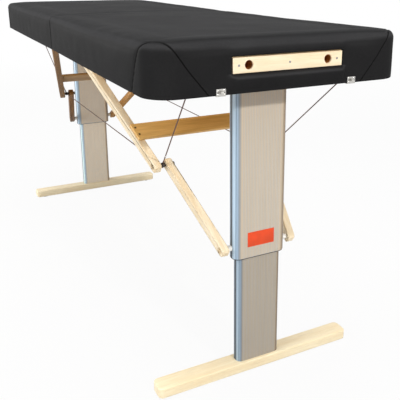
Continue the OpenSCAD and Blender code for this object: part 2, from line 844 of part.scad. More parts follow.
mirror([1, 0, 0]) inner_tube();  // far_inner_tube
mirror([1, 0, 0]) slide_block();  // far_slide_block
mirror([1, 0, 0]) foot();  // far_foot
mirror([1, 0, 0]) foot_pads();  // far_foot_pads
mirror([1, 0, 0]) upper_braces();  // far_upper_braces
mirror([1, 0, 0]) crossboard();  // far_crossboard
mirror([1, 0, 0]) brace_bolts();  // far_brace_bolts
mirror([1, 0, 0]) lower_braces();  // far_lower_braces
mirror([1, 0, 0]) end_cables();  // far_end_cables
headrest_plate();
headrest_block();
plate_screws();
label_plate();
side_cables();
near_hinge_leaves();
far_hinge_leaves();
latch_keepers();  // near_latch_keepers
mirror([1, 0, 0]) latch_bases();  // far_latch_bases
latch_lever(-1);  // left_latch_lever
latch_lever(1);  // right_latch_lever
control_box();
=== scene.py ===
import bpy, bmesh, json, math
import numpy as np
from mathutils import Matrix, Vector, noise

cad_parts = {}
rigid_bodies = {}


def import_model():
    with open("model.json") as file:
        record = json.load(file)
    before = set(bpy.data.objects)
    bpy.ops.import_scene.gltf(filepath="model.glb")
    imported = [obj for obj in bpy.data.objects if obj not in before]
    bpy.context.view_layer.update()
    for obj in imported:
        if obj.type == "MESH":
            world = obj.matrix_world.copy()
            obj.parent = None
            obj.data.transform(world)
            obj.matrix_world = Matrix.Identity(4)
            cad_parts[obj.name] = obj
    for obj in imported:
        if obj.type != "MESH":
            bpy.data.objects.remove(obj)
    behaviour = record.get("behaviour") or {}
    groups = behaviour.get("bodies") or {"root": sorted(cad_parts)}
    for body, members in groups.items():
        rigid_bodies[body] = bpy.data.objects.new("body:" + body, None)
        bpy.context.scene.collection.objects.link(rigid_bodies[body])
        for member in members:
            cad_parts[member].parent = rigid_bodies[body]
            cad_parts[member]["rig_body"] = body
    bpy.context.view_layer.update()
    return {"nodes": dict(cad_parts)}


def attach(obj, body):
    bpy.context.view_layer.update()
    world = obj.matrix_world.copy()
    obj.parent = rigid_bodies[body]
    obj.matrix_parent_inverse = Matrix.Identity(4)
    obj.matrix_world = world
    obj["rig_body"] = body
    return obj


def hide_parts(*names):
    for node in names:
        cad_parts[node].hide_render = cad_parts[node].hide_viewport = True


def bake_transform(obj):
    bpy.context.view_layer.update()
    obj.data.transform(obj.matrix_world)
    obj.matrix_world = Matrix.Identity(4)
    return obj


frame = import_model()
NODES = frame["nodes"]
SIDES = (("near", 1), ("far", -1))
HANDS = (("left", -1), ("right", 1))

# ---------------------------------------------------------------- camera

CAMERA_AT = (2.2055, -0.7805, 1.1152)
CAMERA_TURN = (61.815, -15.513, 0.214)  # yaw, pitch and roll in degrees
FRAME, FOCAL, SHIFT = 400, 611.085, (-39.40, -60.455)  # in pixels of the photo's frame
SENSOR = 36  # mm

def add_camera():
    yaw, pitch, roll = (math.radians(a) for a in CAMERA_TURN)
    ahead = Vector((-math.sin(yaw) * math.cos(pitch), math.cos(yaw) * math.cos(pitch),
                    math.sin(pitch)))
    right = ahead.cross(Vector((0, 0, 1))).normalized()
    up = right.cross(ahead)
    right, up = (right * math.cos(roll) + up * math.sin(roll),
                 up * math.cos(roll) - right * math.sin(roll))
    data = bpy.data.cameras.new("view")
    data.sensor_width = SENSOR
    data.lens = FOCAL * SENSOR / FRAME
    data.shift_x, data.shift_y = SHIFT[0] / FRAME, SHIFT[1] / FRAME
    cam = bpy.data.objects.new("view", data)
    bpy.context.scene.collection.objects.link(cam)
    turn = Matrix((right, up, -ahead)).transposed()
    cam.matrix_world = Matrix.Translation(CAMERA_AT) @ turn.to_4x4()
    bpy.context.scene.camera = cam

add_camera()
bpy.context.scene.view_settings.view_transform = "Standard"

# ---------------------------------------------------------------- measures of part.scad, in metres

COLUMN_X = 0.853  # middle of a column
LATCH_X, LATCH_Y, LATCH_Z = 1.0015, 0.182, 0.8505  # middle of a latch, on the table's end
HEADREST_Z, HEADREST_Y, BORE_R = 0.908, 0.1095, 0.0125  # a headrest hole, and a radius past its wall
PLATE_FACE_X, PLATE_SCREW_Y = 0.9990, 0.136  # face of the headrest plate, and its outer screws
KNEE_X, KNEE_Y, KNEE_Z = 0.603, 0.1768, 0.565  # where two braces and the cables meet
KNEE_INNER_X = 0.5947  # where a side cable leaves the knee
MIDDLE_X = 0.25  # where a side cable passes from one piece to the next
EYE_X, EYE_Y, EYE_Z = 0.971 - 0.0011, 0.234, 0.890  # where an end cable meets the end rail
BOLT_R = 0.0083  # from a knee's middle to its end cable's start
UPPER_TURN = math.atan2(0.350, 0.483)  # slope of the upper braces, and of the crossboards
LOWER_TURN = math.atan2(0.179, 0.250)
DOWEL_AT, DOWEL_AXIS = (0.7155, 0.1441, 0.4845), (0.17, 0.977, -0.12)  # on a lower brace

# ---------------------------------------------------------------- helpers

def srgb(r, g, b):
    """A colour from 0 to 255, as Blender's linear one."""
    def lin(c):
        c /= 255
        return c / 12.92 if c <= 0.04045 else ((c + 0.055) / 1.055) ** 2.4
    return (lin(r), lin(g), lin(b), 1)

def two_shades(rgb, low, high):
    """A darker and a lighter shade of a colour."""
    return tuple(tuple(min(255, c * k) for c in rgb) for k in (low, high))

def link(name, mesh):
    ob = bpy.data.objects.new(name, mesh)
    bpy.context.scene.collection.objects.link(ob)
    return ob

def smooth(ob, angle=32):
    ob.data.polygons.foreach_set("use_smooth", [True] * len(ob.data.polygons))
    ob.data.set_sharp_from_angle(angle=math.radians(angle))

def ring_faces(j, k, n):
    """Quads between ring j and ring k, of n points each."""
    return [(j * n + i, j * n + (i + 1) % n, k * n + (i + 1) % n, k * n + i) for i in range(n)]

class Nodes:
    """A node tree with a short way to add nodes and links."""
    def __init__(self, tree):
        self.nt = tree

    def put(self, socket, value):
        if isinstance(value, bpy.types.NodeSocket):
            self.nt.links.new(value, socket)
        else:
            socket.default_value = value

    def add(self, kind, settings=None, **inputs):
        """A new node. An input goes by its name, with _ for a space, or by its number, as in i0."""
        n = self.nt.nodes.new("ShaderNode" + kind)
        for k, v in (settings or {}).items():
            setattr(n, k, v)
        for k, v in inputs.items():
            numbered = k[0] == "i" and k[1:].isdigit()
            self.put(n.inputs[int(k[1:]) if numbered else k.replace("_", " ")], v)
        return n

    def ramp(self, fac, stops):
        n = self.add("ValToRGB", Fac=fac)
        el = n.color_ramp.elements
        while len(el) < len(stops):
            el.new(0.5)
        for e, (p, c) in zip(el, stops):
            e.position, e.color = p, c
        return n.outputs["Color"]

    def shade(self, fac, colours, start=0.35, end=0.65):
        """A ramp from a dark colour to a light one."""
        dark, light = colours
        return self.ramp(fac, [(start, srgb(*dark)), (end, srgb(*light))])

    def math(self, op, a, b=0.0):
        return self.add("Math", {"operation": op}, i0=a, i1=b).outputs[0]

    def weigh(self, *parts):
        """The sum of the sockets, each times its weight."""
        total = None
        for socket, weight in parts:
            part = self.math("MULTIPLY", socket, weight)
            total = part if total is None else self.math("ADD", total, part)
        return total

    def remap(self, value, before, after, settings=None):
        """A value taken from the range before to the range after."""
        return self.add("MapRange", settings, Value=value, From_Min=before[0], From_Max=before[1],
                        To_Min=after[0], To_Max=after[1]).outputs[0]

    def mix(self, fac, a, b, kind="MIX"):
        return self.add("Mix", {"data_type": "RGBA", "blend_type": kind}, i0=fac, i6=a, i7=b).outputs[2]

    def coords(self, rotate=(0, 0, 0), scale=(1, 1, 1)):
        c = self.add("TexCoord").outputs["Object"]
        if any(rotate):
            c = self.add("Mapping", Vector=c, Rotation=rotate).outputs[0]
        return self.add("Mapping", Vector=c, Scale=scale).outputs[0]

    def noise(self, vector, scale, detail, distortion=0.0):
        return self.add("TexNoise", Vector=vector, Scale=scale, Detail=detail,
                        Distortion=distortion).outputs[0]

    def seen(self):
        """1 for what the camera sees, also in a reflection and through glass."""
        rays = self.add("LightPath").outputs
        direct = self.math("MAXIMUM", rays["Is Camera Ray"], rays["Is Glossy Ray"])
        return self.math("MAXIMUM", direct, rays["Is Transmission Ray"])

class Mat(Nodes):
    """A material with its Principled shader."""
    def __init__(self, name):
        self.m = bpy.data.materials.new(name)
        self.m.use_nodes = True
        super().__init__(self.m.node_tree)
        self.bsdf = self.nt.nodes["Principled BSDF"]
        self.out = self.nt.nodes["Material Output"]

    def set(self, **inputs):
        for k, v in inputs.items():
            self.put(self.bsdf.inputs[k.replace("_", " ")], v)

    def bump(self, height, strength, distance):
        n = self.add("Bump", Height=height, Strength=strength, Distance=distance)
        self.set(Normal=n.outputs[0])

# ---------------------------------------------------------------- materials

# Painted highlight and shade on the cover: its colour is lighter where the skin slopes up, over the
# rims and the roll, and darker on top and on upright faces. The table holds half the factor on its
# colour, by how far the skin faces up.
PAINTED_SHEEN_BY_UP = ((0.0, 0.45), (0.12, 0.50), (0.45, 0.88), (0.72, 0.76), (0.94, 0.38), (1.0, 0.29))
SEAM_DARK = (0.0004, 0.0021)  # a seam's colour is full and gone at these distances from it

def leatherette():
    m = Mat("leatherette")
    c = m.coords()
    cloud = m.noise(c, 7.0, 3.0)
    speck = m.noise(c, 260.0, 4.0)
    tone = m.shade(m.weigh((cloud, 0.6), (speck, 0.4)), ((34, 34, 35), (41, 41, 42)), 0.3, 0.72)
    seam = m.math("ABSOLUTE", m.add("Attribute", {"attribute_name": "seam"}).outputs["Fac"])
    line = m.remap(seam, SEAM_DARK, (0.0, 1.0), {"interpolation_type": "SMOOTHSTEP"})
    up = m.add("SeparateXYZ", Vector=m.add("TexCoord").outputs["Normal"]).outputs[2]
    # painted highlight where the skin slopes up, painted shade on top and on upright faces
    painted_sheen = m.ramp(up, [(p, (v, v, v, 1)) for p, v in PAINTED_SHEEN_BY_UP])
    tone = m.mix(1.0, tone, m.mix(1.0, painted_sheen, (2, 2, 2, 1), "MULTIPLY"), "MULTIPLY")
    m.set(Base_Color=m.mix(line, srgb(12, 12, 12), tone))
    grain = m.add("TexVoronoi", {"feature": "SMOOTH_F1"}, Vector=c, Scale=820.0).outputs["Distance"]
    pores = m.noise(c, 1500.0, 2.0)
    wear = m.noise(c, 24.0, 5.0)
    m.bump(m.weigh((grain, 0.22), (pores, 0.1), (wear, 0.5), (line, 0.9)), 0.5, 0.0009)
    m.set(Roughness=m.remap(cloud, (0.0, 1.0), (0.44, 0.56)), Specular_IOR_Level=0.009)
    return m.m

# painted shade for the walls of the headrest holes
BORE_PAINTED_SHADE = ((140, 84, 34), (190, 126, 66))
SPRUCE = ((214, 180, 128), (240, 214, 168))
CREAM = ((232, 208, 168), (252, 238, 210))
WOOD_STOPS = (0.36, 0.6)

def wood(name, colours, turn=0.0, along="x", rough=0.42, right=None, bores=False):
    """Fine straight grain. turn swings it about Y, for pieces that slope.

    right holds the colours of the piece on the +Y side, lighter as painted light. bores darkens the
    headrest holes' walls with painted shade."""
    m = Mat(name)
    rot = (0, turn, 0)
    stretch = {"x": (0.06, 1, 1), "y": (1, 0.06, 1)}[along]
    broad = m.noise(m.coords(rot, stretch), 62.0, 4.0, 0.35)
    fine = m.noise(m.coords(rot, stretch), 420.0, 3.0)
    patch = m.noise(m.coords(rot), 4.5, 2.0)
    v = m.weigh((broad, 0.55), (fine, 0.25), (patch, 0.2))
    col = m.shade(v, colours, *WOOD_STOPS)
    # painted light: the piece on +Y gets lighter colours than its shaded twin on -Y
    if right:
        hand = m.add("SeparateXYZ", Vector=m.coords()).outputs[1]
        col = m.mix(m.math("GREATER_THAN", hand, 0.0), col, m.shade(v, right, *WOOD_STOPS))
    # painted shade on the walls inside the headrest holes
    if bores:
        _, y, z = m.add("SeparateXYZ", Vector=m.coords()).outputs
        dy = m.math("SUBTRACT", m.math("ABSOLUTE", y), HEADREST_Y)
        dz = m.math("SUBTRACT", z, HEADREST_Z)
        r = m.math("SQRT", m.math("ADD", m.math("MULTIPLY", dy, dy), m.math("MULTIPLY", dz, dz)))
        col = m.mix(m.math("LESS_THAN", r, BORE_R), col, m.shade(v, BORE_PAINTED_SHADE, *WOOD_STOPS))
    pores = m.noise(m.coords(rot, tuple(s * 0.5 if s < 1 else s for s in stretch)), 900.0, 1.0)
    dots = m.remap(pores, (0.30, 0.38), (0.86, 1.0))
    m.set(Base_Color=m.mix(1.0, col, dots, "MULTIPLY"), Roughness=rough)
    m.bump(m.math("ADD", fine, m.math("MULTIPLY", pores, 0.5)), 0.18, 0.0004)
    m.set(Coat_Weight=0.05, Coat_Roughness=0.4, Specular_IOR_Level=0.25)
    return m.m

def plywood(name, colours, turn=0.0, along="y"):
    m = Mat(name)
    rot = (0, turn, 0)
    stretch = {"x": (0.05, 1, 1), "y": (1, 0.05, 1)}[along]
    bands = m.noise(m.coords(rot, stretch), 38.0, 5.0, 1.4)
    fine = m.noise(m.coords(rot, stretch), 330.0, 2.0)
    v = m.weigh((bands, 0.75), (fine, 0.25))
    m.set(Base_Color=m.shade(v, colours, 0.36, 0.62), Roughness=0.4)
    m.bump(fine, 0.15, 0.0003)
    return m.m

# Painted reflection and shade on a tube, by how far its surface faces along the table, from 0 to 1:
# the first table is for -Y, a bright blue painted reflection with dark painted stripes, and the second
# is for +Y, darker as painted shade. Both end at the metal's own warm colour where it faces along the
# table.
TUBE_REFLECTION_PAINTED = ((0.0, 62, 76, 92), (0.12, 74, 90, 106), (0.19, 160, 182, 200), (0.28, 186, 208, 228),
             (0.58, 190, 214, 234), (0.68, 168, 194, 220), (0.76, 178, 200, 220),
             (0.86, 150, 172, 194), (0.94, 142, 152, 160), (0.985, 168, 164, 158),
             (1.0, 203, 188, 166))
TUBE_SHADE_PAINTED = ((0.0, 110, 100, 90), (0.45, 150, 140, 126), (0.8, 150, 134, 114),
            (0.95, 158, 140, 118), (1.0, 203, 188, 166))

def anodised(name, k):
    """Brushed profile: warm where it faces along the table, with a painted blue reflection and dark
    painted stripes on -Y, and painted shade on +Y.

    k makes the whole lighter or darker, as painted light or painted shade on one copy."""
    m = Mat(name)
    n = m.add("SeparateXYZ", Vector=m.add("TexCoord").outputs["Normal"]).outputs
    turn = m.math("ABSOLUTE", n[0])
    # painted reflection on -Y and painted shade on +Y
    cool, tan = (m.ramp(turn, [(p, srgb(*(min(255, c * k) for c in rgb))) for p, *rgb in row])
                 for row in (TUBE_REFLECTION_PAINTED, TUBE_SHADE_PAINTED))
    col = m.mix(m.math("GREATER_THAN", n[1], 0.02), cool, tan)
    streak = m.noise(m.coords(scale=(1, 1, 0.02)), 260.0, 3.0)
    light = m.remap(streak, (0.3, 0.7), (0.95, 1.03))
    m.set(Base_Color=m.mix(1.0, col, light, "MULTIPLY"), Metallic=0.06, Roughness=0.5)
    m.bump(streak, 0.1, 0.0002)
    return m.m

def metal(name, rgb, rough, scale=300.0, depth=0.08):
    m = Mat(name)
    v = m.noise(m.coords(), scale, 4.0)
    m.set(Base_Color=m.shade(v, two_shades(rgb, 0.86, 1.08)), Metallic=1.0,
          Roughness=m.remap(v, (0.0, 1.0), (rough - 0.06, rough + 0.08)))
    m.bump(v, depth, 0.0003)
    return m.m

def plastic(name, rgb, rough, scale=700.0):
    m = Mat(name)
    fine = m.noise(m.coords(), scale, 3.0)
    cloud = m.noise(m.coords(), 18.0, 3.0)
    m.set(Base_Color=m.shade(cloud, two_shades(rgb, 0.93, 1.03)), Roughness=rough)
    m.bump(fine, 0.12, 0.0003)
    return m.m

def rope():
    m = Mat("rope_sheath")
    w = m.add("TexWave", {"bands_direction": "DIAGONAL"}, Vector=m.coords(), Scale=420.0).outputs["Fac"]
    m.set(Base_Color=m.shade(w, ((66, 34, 22), (98, 58, 38)), 0.2, 0.8), Roughness=0.5)
    m.bump(w, 0.3, 0.0003)
    return m.m

M = {
    "vinyl": leatherette(),
    # lit and shaded copies of one finish: k paints light on the far tubes and the far inner one, shade
    # on the near inner one
    "anodised": anodised("anodised", 1.0),
    "anodised_far_painted_light": anodised("anodised_far_painted_light", 1.08),
    "anodised_near_inner": anodised("anodised_near_inner", 0.87),
    "anodised_far_inner": anodised("anodised_far_inner", 1.2),
    "near_upper": wood("beech_near_upper", CREAM, turn=-UPPER_TURN),
    # far braces: darker colours as painted shade under the table, the +Y brace less shaded
    "far_upper": wood("beech_far_upper_painted_shade", ((104, 70, 30), (138, 100, 52)), turn=UPPER_TURN,
                      right=((176, 126, 60), (208, 160, 92))),
    "near_lower": wood("beech_near_lower", CREAM, turn=-LOWER_TURN),
    "far_lower": wood("beech_far_lower_painted_shade", ((108, 70, 32), (142, 100, 54)), turn=LOWER_TURN,
                      right=((160, 112, 54), (196, 146, 82))),
    "foot": wood("beech_foot", ((246, 226, 186), (255, 242, 210)), along="y"),
    "rail_x": wood("spruce_rail_x", SPRUCE),
    "rail_y": wood("spruce_rail_y", SPRUCE, along="y"),
    "near_board": plywood("ply_near_board", ((214, 166, 92), (244, 198, 122)), -UPPER_TURN),
    # painted shade: the far crossboard is darker than the near one
    "far_board": plywood("ply_far_board_painted_shade", ((138, 102, 56), (170, 132, 82)), UPPER_TURN),
    # painted shade inside the end rail's headrest holes
    "bored_rail": wood("spruce_bored_rail", SPRUCE, along="y", bores=True),
    "panel": plywood("ply_panel", ((196, 160, 104), (226, 194, 142)), along="x"),
    "plate": wood("birch_plate", ((246, 222, 184), (255, 238, 208)), along="y", rough=0.5),
    "cast": metal("cast_alloy", (128, 128, 130), 0.45),
    "dark": metal("dark_steel", (70, 66, 64), 0.42, scale=500.0),
    "bright": metal("bright_steel", (190, 190, 192), 0.3),
    "nickel": metal("nickel", (205, 203, 198), 0.22, scale=900.0, depth=0.03),
    "black": plastic("black_plastic", (34, 34, 36), 0.5),
    "white": plastic("white_plastic", (236, 234, 228), 0.4),
    "rubber": plastic("rubber", (30, 30, 30), 0.7),
    "rope": rope(),
    "orange": plastic("orange_label", (228, 70, 10), 0.5, scale=250.0),
    # painted shade and painted reflection for the tubes' corner grooves
    "groove": plastic("groove_shade_and_reflection", (58, 92, 126), 0.6),
    # painted shade for the headrest block, seen only through the holes
    "bore": wood("bore_wood_painted_shade", BORE_PAINTED_SHADE, along="y"),
    # painted shade: dark bars for the screws' cross slots and the latches' gaps
    "slot": plastic("slot_painted_shade", (40, 34, 30), 0.6),
}

def paint(ob, mat):
    ob.data.materials.clear()
    ob.data.materials.append(M[mat])

# By a node's name, or by its name without near_, far_, left_ or right_
CAD_LOOKS = {
    "panel": "panel", "side_rails": "rail_x", "end_rail": "rail_y", "centre_rail": "rail_y",
    "cross_bearer": "rail_y", "pivot_brackets": "dark", "brace_pivot_bolts": "dark",
    "cable_eyes": "nickel", "column_head": "cast", "gearmotor": "black", "spindle": "bright",
    "guide_collar": "black", "brace_anchors": "white", "slide_block": "white",
    "foot_pads": "rubber", "brace_bolts": "dark", "hinge_leaves": "bright",
    # the headrest block and the near end rail carry painted shade in the holes
    "headrest_plate": "plate", "headrest_block": "bore", "near_end_rail": "bored_rail",
    "plate_screws": "nickel", "label_plate": "orange", "latch_keepers": "nickel",
    "latch_bases": "nickel", "latch_lever": "nickel", "control_box": "black",
    "outer_tube": "anodised", "near_inner_tube": "anodised_near_inner",
    "far_inner_tube": "anodised_far_inner", "cushion": "vinyl", "foot": "foot",
    "upper_braces": "near_upper", "lower_braces": "near_lower", "crossboard": "near_board",
    "end_cables": "rope", "side_cables": "rope",
}
for name, ob in NODES.items():
    key = name if name in CAD_LOOKS else name.split("_", 1)[1]
    paint(ob, CAD_LOOKS[key])

# ---------------------------------------------------------------- dressed copies of hard pieces

FLAT_ANGLE = 0.6  # degrees: faces that meet flatter than this are joined
SHARP_ANGLE = 40  # and edges sharper than this are rounded

def soften(node, mat, width, segments=2):
    """A copy of a CAD node with rounded edges, which stands for it."""
    src = NODES[node]
    me = src.data.copy()
    bm = bmesh.new()
    bm.from_mesh(me)
    bmesh.ops.remove_doubles(bm, verts=bm.verts, dist=1e-6)
    bmesh.ops.dissolve_limit(bm, angle_limit=math.radians(FLAT_ANGLE), verts=bm.verts, edges=bm.edges)
    sharp = [e for e in bm.edges if len(e.link_faces) == 2
             and math.degrees(e.calc_face_angle(0)) > SHARP_ANGLE]
    bmesh.ops.bevel(bm, geom=sharp, offset=width, segments=segments, profile=0.5,
                    affect="EDGES", clamp_overlap=False)
    bm.to_mesh(me)
    bm.free()
    ob = link(node + "_dressed", me)
    paint(ob, mat)
    smooth(ob)
    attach(ob, src["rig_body"])
    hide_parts(node)

for side, _ in SIDES:
    soften(side + "_upper_braces", side + "_upper", 0.0018)
    soften(side + "_lower_braces", side + "_lower", 0.0018)
    soften(side + "_crossboard", side + "_board", 0.0008)
    soften(side + "_foot", "foot", 0.0035, segments=4)
    soften(side + "_brace_anchors", "white", 0.0012)

# ---------------------------------------------------------------- fluted columns

FLUTE_PITCH = 0.0046
FLUTE = ((-0.7, 0), (-0.25, 0.35), (0.25, 0.35), (0.7, 0))  # mm along a wide face, and into it
CORNER_GROOVE = ((-1.9, 0), (-1.5, 0.0008), (1.5, 0.0008), (1.9, 0))  # degrees, and metres deep
CORNER_STEPS = 10
SIDE_GROOVE_W, SIDE_GROOVE_T = 0.0026, 0.0011
TUBE_WALL, TUBE_STEPS = 0.0025, 6

# Name, width, depth, corner radius, bottom, top, width of the fluted part, and easing of the ends
TUBES = (("outer", 0.160, 0.045, 0.020, 0.357, 0.846, 0.119, 0.0008),
         ("inner", 0.1354, 0.038, 0.016, 0.033, 0.507, 0.102, 0.0006))

def tube_loop(w, d, r, flat):
    """Outline of a tube in plan, counter-clockwise: fine flutes on the wide faces, and grooves on the
    narrow sides and the corners.

    Also says which stretches of the outline lie in a corner's groove."""
    pts, dark = [], set()
    hx, hy = d / 2, w / 2
    def corner(cx, cy, a0):
        for i in range(CORNER_STEPS + 1):
            a = math.radians(a0 + 90 / CORNER_STEPS * i)
            if i == CORNER_STEPS // 2:
                dark.update(range(len(pts), len(pts) + len(CORNER_GROOVE) - 1))
                for turn, dep in CORNER_GROOVE:
                    t = a + math.radians(turn)
                    pts.append((cx + (r - dep) * math.cos(t), cy + (r - dep) * math.sin(t)))
            else:
                pts.append((cx + r * math.cos(a), cy + r * math.sin(a)))
    def face(sx):
        n = int(flat / FLUTE_PITCH / 2)
        for k in range(-n, n + 1):
            for off, dep in FLUTE:
                pts.append((sx * (hx - dep / 1000), sx * (k * FLUTE_PITCH + off / 1000)))
    def narrow(sy):
        g = SIDE_GROOVE_W / 2
        for x, dep in ((g, 0), (g * 0.86, SIDE_GROOVE_T), (-g * 0.86, SIDE_GROOVE_T), (-g, 0)):
            pts.append((sy * x, sy * (hy - dep)))
    face(1)
    corner(hx - r, hy - r, 0)
    narrow(1)
    corner(-(hx - r), hy - r, 90)
    face(-1)
    corner(-(hx - r), -(hy - r), 180)
    narrow(-1)
    corner(hx - r, -(hy - r), 270)
    return pts, dark

def round_loop(w, d, r, like):
    """Points on the plain inner outline, one for each point of like."""
    out = []
    for x, y in like:
        cx = max(-(d / 2 - r), min(d / 2 - r, x))
        cy = max(-(w / 2 - r), min(w / 2 - r, y))
        v = Vector((x - cx, y - cy))
        v = v.normalized() if v.length > 1e-9 else Vector((1, 0))
        out.append((cx + v.x * r, cy + v.y * r))
    return out

def fluted(side, s, part, w, d, r, z0, z1, flat, lip):
    node = f"{side}_{part}_tube"
    outer, dark = tube_loop(w, d, r, flat)
    inner = round_loop(w - 2 * TUBE_WALL, d - 2 * TUBE_WALL, r - TUBE_WALL, outer)
    n = len(outer)
    soft = [(x * (1 - 2 * lip / d), y * (1 - 2 * lip / w)) for x, y in outer]
    rings = [(inner, z0), (soft, z0), (outer, z0 + lip)]
    rings += [(outer, z0 + lip + (z1 - z0 - 2 * lip) * i / TUBE_STEPS) for i in range(1, TUBE_STEPS)]
    rings += [(outer, z1 - lip), (soft, z1), (inner, z1)]
    verts = [(s * (COLUMN_X + x), y, z) for loop, z in rings for x, y in loop]
    m = len(rings)
    faces = [q[::s] for j in range(m) for q in ring_faces(j, (j + 1) % m, n)]
    me = bpy.data.meshes.new(node + "_fluted")
    me.from_pydata(verts, [], faces)
    ob = link(node + "_fluted", me)
    if part == "inner":
        paint(ob, f"anodised_{side}_inner")
    else:
        paint(ob, "anodised" if side == "near" else "anodised_far_painted_light")
    # the corner grooves get a dark blue colour: painted shade and painted reflection in the recess
    me.materials.append(M["groove"])
    for k, f in enumerate(me.polygons):
        f.material_index = 1 if k % n in dark and 1 < k // n < m - 2 else 0
    smooth(ob, 25)
    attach(ob, NODES[node]["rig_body"])
    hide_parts(node)

for side, sx in SIDES:
    for tube in TUBES:
        fluted(side, sx, *tube)

# ---------------------------------------------------------------- cushions

# A half's length and half its width, its edge at the fold, the corners' radius, and the hem's height
HALF_L, HALF_W, GAP, CORNER, BASE = 1.0, 0.35, 0.0004, 0.068, 0.843
RIM, CROWN, EDGE = 0.961, 0.006, 0.020  # rim's height, rise above it, and the radius over the edge
REACH = HALF_W - 0.020  # depth inside the outline at which the crown is full
FOLD_R, FOLD_CORNER = 0.0026, 0.005  # rounding over the fold's edge, and in plan
BOW = 0.004  # how far a side pulls in at the fold
INNERMOST, TOP_ROWS, ARC_ROWS = 0.3452, 36, 10  # last row's depth, rows on the top and over the edge
SIDE_N, ARC_N, FOLD_N = 120, 20, 60  # steps along a side, round a corner, and along the fold
PLATE_Y, PLATE_Z0, PLATE_Z1 = 0.1513, 0.8897, 0.9263  # the skin's opening for the headrest plate

# Points of the end's outline and rows of the wall, closer where the cover meets the plate
END_Y = (0, 0.012, 0.024, 0.036, 0.048, 0.060, 0.072, 0.084, 0.096, 0.108, 0.118, 0.127, 0.135, 0.141,
         0.1455, 0.1485, 0.150, PLATE_Y, 0.1525, 0.1542, 0.157, 0.161, 0.166, 0.172, 0.179, 0.187,
         0.196, 0.205, 0.214, 0.223, 0.232, 0.241, 0.250, 0.259, 0.268, 0.275)
WALL_MM = (848.5, 852, 856, 860, 864, 868, 872, 875.5, 879, 882, 884.5, 886.6, 888.3, 889.7, 891.2,
           893.5, 897, 901, 905, 909, 913, 917, 920.5, 923.2, 925, 926.3, 927.6, 929.4, 931.8, 934.7)
HEM_ROWS = ((0.0025, 0.84305), (0.0011, 0.8434), (0.0003, 0.8443), (0.0, 0.8457))

# The inside of the skin, against the wood frame
WALL_X, WALL_Y, WALL_FOLD_X = 0.99415, 0.34415, 0.0022
WALL_R, WALL_ARC_X, WALL_ARC_Y = 0.06215, 0.932, 0.282
WALL_TOP, WALL_FOOT, HEM_FOOT = 0.9353, 0.8449, 0.84305
HEM_W, HEM_FROM_X = 0.018, 0.0215  # the hem turns in below the frame, from here outwards

# Corner patch in the plane of the skin: along the rim from the corner's middle, and up from the hem
ARCH = ((-0.107, 0.000), (-0.0965, 0.024), (-0.086, 0.047), (-0.0745, 0.070), (-0.059, 0.092),
        (-0.043, 0.110), (-0.026, 0.123), (-0.006, 0.1285), (0.014, 0.1245), (0.0295, 0.114),
        (0.043, 0.1005), (0.0585, 0.082), (0.0765, 0.0595), (0.0945, 0.0375), (0.109, 0.020),
        (0.1255, 0.000))
SEAM_W, SEAM_T = 0.0017, 0.0011  # width and depth of a seam's groove
SEAM_REACH = 0.2  # further off than this no distance to a seam is worked out
FAR_AWAY = 1.0  # stands for the distance to a seam or the plate, where it's too far to matter
END_DEPTH = 0.018  # how far in from the outline the end's relief goes
# Height added to the near rim along x, and to the far one, and the share left in the top's middle
FULLER = ((0.0, 0.45, 0.75, 0.96), (-0.002, -0.0005, 0.003, 0.006))
FAR_FULLER, FULLER_MIDDLE = -0.002, 0.3
LIP_T, LIP_W = 0.0057, 0.0024  # how the skin dips round the plate
ROLL_T, ROLL_W = 0.0125, 0.013  # the roll of cover below the plate
BROW_T, BROW_W = 0.0040, 0.011  # and the smaller one above it
UNEVEN, UNEVEN_SCALE, UNEVEN_OFF_PLATE = 0.0006, 17, 0.004  # height, frequency, and its start
CLOTH_CAP, CLOTH_FRAMES = 0.0035, 16  # the furthest that cloth moves a point

# Where each of these starts and ends: up the skin, in from the outline, along the rim, or off a line
FULLER_UP, FULLER_IN = (0.055, 0.115), (0.05, 0.30)
HELD_HEM, HELD_TOP, HELD_FOLD = (0.006, 0.022), (0.05, 0.13), (0.012, 0.05)
HELD_SEAM, HELD_PLATE = (0.0, 0.011), (0.0, 0.012)
WIDE_SEAM_SIDE, WIDE_SEAM_UP, WIDE_SEAM_END = (-0.02, 0.03), (0.098, 0.118), -0.3
RELIEF_Y, ROLL_Z = (0.143, 0.166), (0.846, 0.862)
UNEVEN_IN, UNEVEN_UP = (0.03, 0.12), (0.004, 0.02)

def bow(x):
    return BOW * (1 - x / HALF_L) ** 2

def fold_in(d):
    """How far the skin is drawn in at the fold, which has only a small rounding."""
    return FOLD_R * min(d, EDGE) / EDGE + max(d - EDGE, 0)

def top_z(depth):
    """Height of the top at a depth inside the outline."""
    if depth < EDGE:
        return RIM - EDGE + math.sqrt(max(0, EDGE ** 2 - (EDGE - depth) ** 2))
    return RIM + CROWN * (1 - (1 - min(1, (depth - EDGE) / (REACH - EDGE))) ** 2)

def step(x, a, b):
    t = np.clip((x - a) / (b - a), 0, 1)
    return t * t * (3 - 2 * t)

